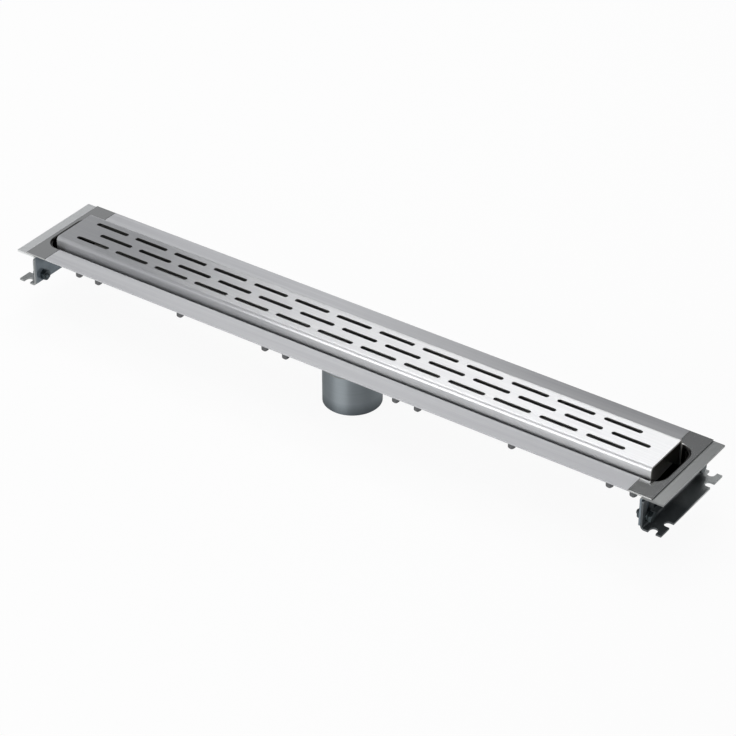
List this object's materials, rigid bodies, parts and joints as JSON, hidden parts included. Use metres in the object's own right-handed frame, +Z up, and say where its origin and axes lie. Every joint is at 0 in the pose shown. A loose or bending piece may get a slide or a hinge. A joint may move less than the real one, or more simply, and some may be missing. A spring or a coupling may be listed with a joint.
{
  "type": "linear shower drain",
  "caption": "Long stainless shower channel with a slotted lift-out grate, a flange all round, a round outlet under the middle and height-adjustable legs at its ends.",
  "frame": {"origin": "where the outlet's axis crosses the plane of the soles, with the legs raised", "axes": "+X along the channel, +Z up through the grate, -Y to the front; the outlet leaves along -Z"},
  "size_m": [0.762, 0.113, 0.0785],
  "materials": {
    "channel_steel": "brushed along its length",
    "cap_steel": "pressed and pickled, smooth",
    "outlet_steel": "satin drawn tube",
    "grate_steel": "bright polished",
    "hanger_steel": "mill finish, smooth",
    "leg_coat": "dark coated, semi-gloss",
    "fastener_zinc": "zinc plated",
    "stud_steel": "drawn and welded"
  },
  "bodies": {
    "channel": {"channel_trough": "channel_steel", "left_end_cap": "cap_steel", "right_end_cap": "cap_steel", "outlet_spigot": "outlet_steel", "grate": "grate_steel", "left_hanger": "hanger_steel", "left_leg_bolts": "fastener_zinc", "left_leg_washers": "fastener_zinc", "left_leg_nuts": "fastener_zinc", "right_hanger": "hanger_steel", "right_leg_bolts": "fastener_zinc", "right_leg_washers": "fastener_zinc", "right_leg_nuts": "fastener_zinc", "front_anchor_studs": "stud_steel", "back_anchor_studs": "stud_steel"},
    "left_leg": {"left_leg": "leg_coat"},
    "right_leg": {"right_leg": "leg_coat"}
  },
  "joints": [
    {"name": "left_leg_height", "type": "slide", "parent": "channel", "child": "left_leg", "axis": [0, 0, -1], "range_m": [0, 0.015]},
    {"name": "right_leg_height", "type": "slide", "parent": "channel", "child": "right_leg", "axis": [0, 0, -1], "range_m": [0, 0.015]}
  ]
}
